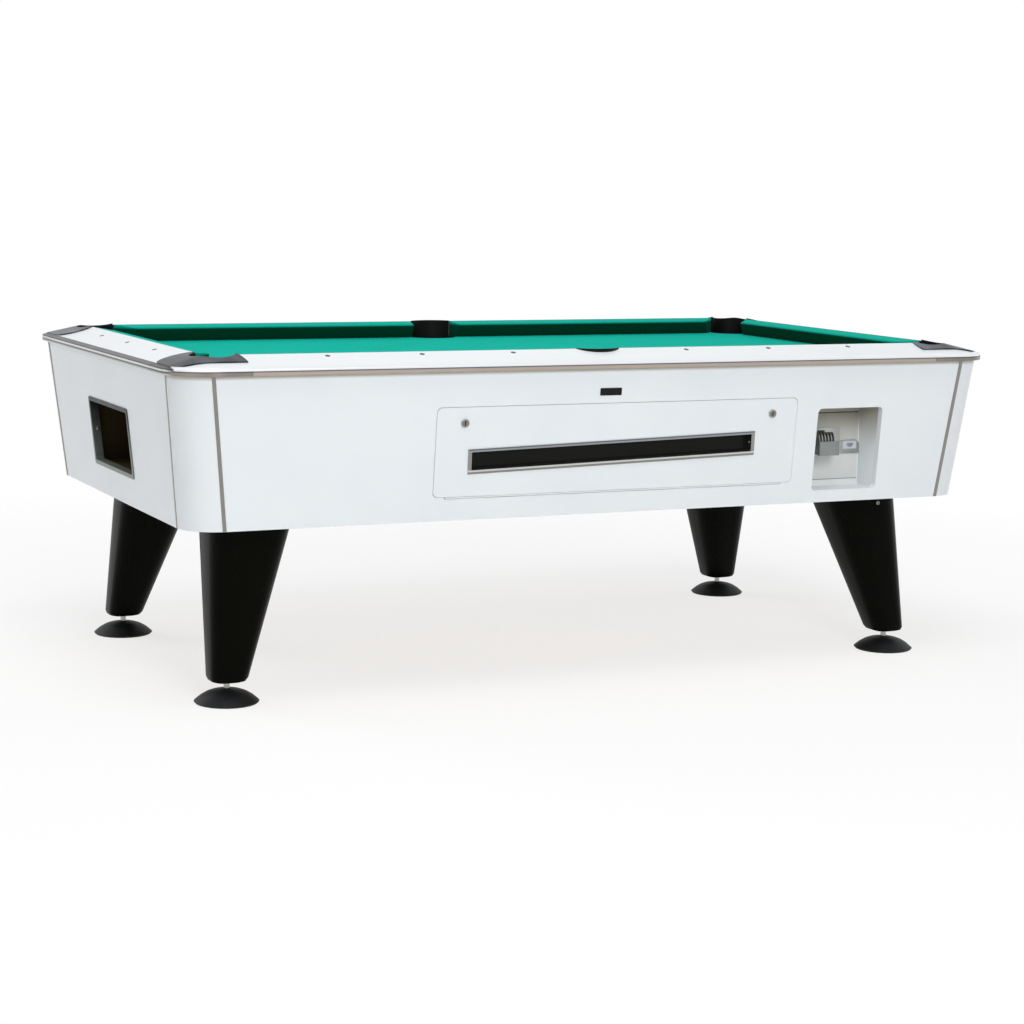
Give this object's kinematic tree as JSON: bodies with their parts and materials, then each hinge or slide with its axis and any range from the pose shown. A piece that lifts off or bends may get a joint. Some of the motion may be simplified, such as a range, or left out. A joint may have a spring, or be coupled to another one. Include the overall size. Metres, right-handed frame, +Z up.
{
  "type": "coin-operated pool table",
  "caption": "Free-standing pool table with a tapered cabinet on splayed legs, slate bed, pockets, a coin slide that lifts a ball finger, a hinged ball door and a ball box.",
  "frame": {"origin": "on the floor, under the middle of the table", "axes": "+X along the length, the coin side faces -Y, +Z up"},
  "size_m": [2.146, 1.231, 0.8032],
  "materials": {
    "laminate": "white laminate on board",
    "trim": "satin extruded",
    "casting": "dark grey satin casting",
    "cushion": "rubber under green cloth",
    "cloth": "napped green cloth",
    "slate": "honed",
    "timber": "plain board",
    "liner": "black moulded",
    "leg": "black gloss lacquer",
    "foot": "dark moulded",
    "zinc": "zinc plated",
    "steel": "bright",
    "pane": "smoked acrylic"
  },
  "bodies": {
    "cabinet": {"front_panel": "laminate", "back_panel": "laminate", "left_end_panel": "laminate", "right_end_panel": "laminate", "coin_recess": "laminate", "corner_panel_front_left": "laminate", "corner_panel_front_right": "laminate", "corner_panel_back_left": "laminate", "corner_panel_back_right": "laminate", "front_rail": "laminate", "back_rail": "laminate", "left_rail": "laminate", "right_rail": "laminate", "front_edge_trim": "trim", "back_edge_trim": "trim", "left_edge_trim": "trim", "right_edge_trim": "trim", "ball_return_frame": "trim", "corner_casting_front_left": "casting", "corner_casting_front_right": "casting", "corner_casting_back_left": "casting", "corner_casting_back_right": "casting", "front_left_cushion": "cushion", "front_right_cushion": "cushion", "back_left_cushion": "cushion", "back_right_cushion": "cushion", "left_cushion": "cushion", "right_cushion": "cushion", "bed_cloth": "cloth", "slate_bed": "slate", "bottom_panel": "timber", "bed_frame": "timber", "ball_ramp": "timber", "ball_runway": "timber", "front_left_pocket_liner": "liner", "front_right_pocket_liner": "liner", "back_left_pocket_liner": "liner", "back_right_pocket_liner": "liner", "front_side_pocket_liner": "liner", "back_side_pocket_liner": "liner", "ball_box": "liner", "leg_front_left": "leg", "leg_front_right": "leg", "leg_back_left": "leg", "leg_back_right": "leg", "coin_chute": "zinc", "cash_box": "zinc", "hinge_fixed_leaf": "steel"},
    "ball_door": {"ball_door": "laminate", "window_frame": "trim", "window_pane": "pane", "hinge_swing_leaf": "steel"},
    "left_lock": {"left_lock": "zinc"},
    "right_lock": {"right_lock": "zinc"},
    "coin_slide": {"coin_slide": "zinc"},
    "release_shaft": {"release_shaft": "steel"},
    "foot_front_left": {"levelling_foot_front_left": "foot"},
    "foot_front_right": {"levelling_foot_front_right": "foot"},
    "foot_back_left": {"levelling_foot_back_left": "foot"},
    "foot_back_right": {"levelling_foot_back_right": "foot"}
  },
  "joints": [
    {"name": "door_swing", "type": "hinge", "parent": "cabinet", "child": "ball_door", "pos_m": [0, -0.56816, 0.46718], "axis": [1, 0, 0], "range_deg": [0, 100]},
    {"name": "left_lock_turn", "type": "hinge", "parent": "ball_door", "child": "left_lock", "pos_m": [-0.37625, -0.58872, 0.64118], "axis": [0, -0.9944, -0.106], "range_deg": [0, 90]},
    {"name": "right_lock_turn", "type": "hinge", "parent": "ball_door", "child": "right_lock", "pos_m": [0.43775, -0.58872, 0.64118], "axis": [0, 0.9944, 0.106], "range_deg": [0, 90]},
    {"name": "coin_push", "type": "slide", "parent": "cabinet", "child": "coin_slide", "axis": [0, 1, 0], "range_m": [0, 0.05], "stiffness_N_per_m": 250, "springref_m": -0.02},
    {"name": "release_turn", "type": "hinge", "parent": "cabinet", "child": "release_shaft", "pos_m": [0, -0.36113, 0.46203], "axis": [-1, 0, 0], "range_deg": [0, 33]},
    {"name": "level_front_left", "type": "slide", "parent": "cabinet", "child": "foot_front_left", "axis": [0, 0, 1], "range_m": [-0.02, 0.012]},
    {"name": "level_front_right", "type": "slide", "parent": "cabinet", "child": "foot_front_right", "axis": [0, 0, 1], "range_m": [-0.02, 0.012]},
    {"name": "level_back_left", "type": "slide", "parent": "cabinet", "child": "foot_back_left", "axis": [0, 0, 1], "range_m": [-0.02, 0.012]},
    {"name": "level_back_right", "type": "slide", "parent": "cabinet", "child": "foot_back_right", "axis": [0, 0, 1], "range_m": [-0.02, 0.012]}
  ],
  "couplings": [
    {"joint": "release_turn", "follows": "coin_push", "rad_per_m": 11.519}
  ]
}
